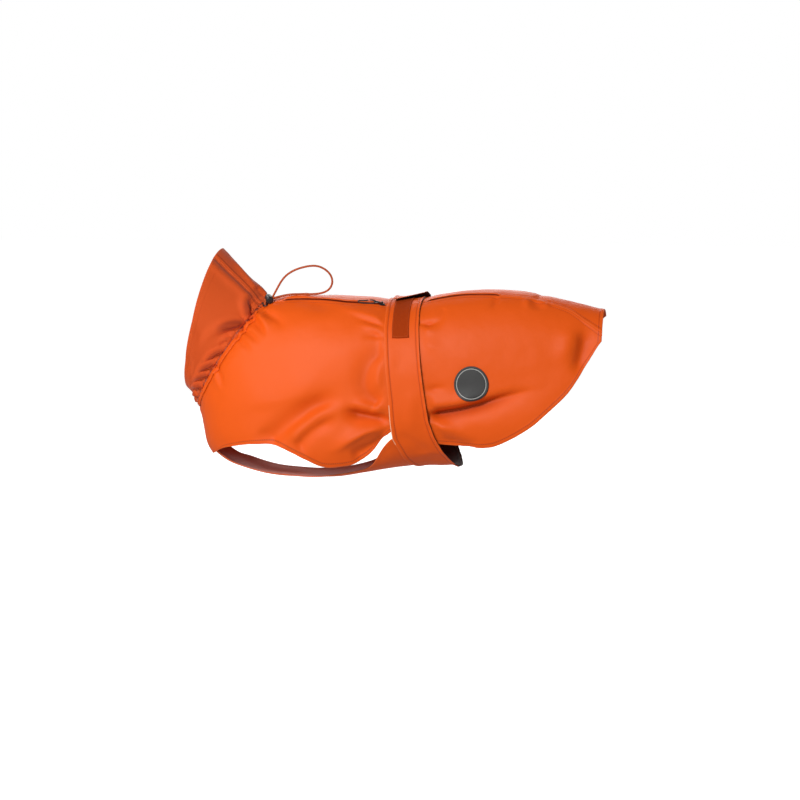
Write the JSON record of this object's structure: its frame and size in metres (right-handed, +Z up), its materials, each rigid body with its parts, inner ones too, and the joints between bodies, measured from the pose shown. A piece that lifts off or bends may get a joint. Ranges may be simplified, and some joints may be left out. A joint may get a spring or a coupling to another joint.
{
  "type": "dog raincoat",
  "caption": "Dog raincoat with a gathered stand-up collar on an elastic drawcord, a back zip, a belly panel, and a belly band closed on the back with hook-and-loop tape.",
  "frame": {"origin": "on the spine line at the middle of the back, just in front of the belly band, where the wearer's back holds the coat up", "axes": "+X towards the tail, -Y the wearer's left side, +Z up"},
  "size_m": [0.6063, 0.2015, 0.3303],
  "materials": {
    "coated_cloth": "coated rainwear cloth, satin, orange",
    "loop_tape": "loop pile tape, dark orange",
    "hook_tape": "moulded hook tape, black",
    "black_plastic": "moulded, black",
    "dark_metal": "gunmetal plated",
    "elastic_cord": "braided elastic, rust",
    "badge_rubber": "matte, charcoal"
  },
  "bodies": {
    "coat": {"side_panel_left": "coated_cloth", "side_panel_right": "coated_cloth", "collar": "coated_cloth", "neck_casing": "coated_cloth", "belly_panel": "coated_cloth", "belly_band": "coated_cloth", "loop_patch": "loop_tape", "hook_patch": "hook_tape", "zip_chain": "coated_cloth", "zip_slider": "black_plastic", "badge": "badge_rubber", "cord_lock": "black_plastic", "lock_button": "black_plastic", "eyelet_left": "dark_metal", "eyelet_right": "dark_metal", "elastic_cord": "elastic_cord"},
    "pull": {"zip_pull": "dark_metal", "pull_cord": "elastic_cord"}
  },
  "joints": [
    {"name": "zip_pull", "type": "hinge", "parent": "coat", "child": "pull", "pos_m": [-0.02096, -0.03576, -0.00134], "axis": [0.0119, 0.9225, 0.3859], "range_deg": [0, 110]}
  ]
}
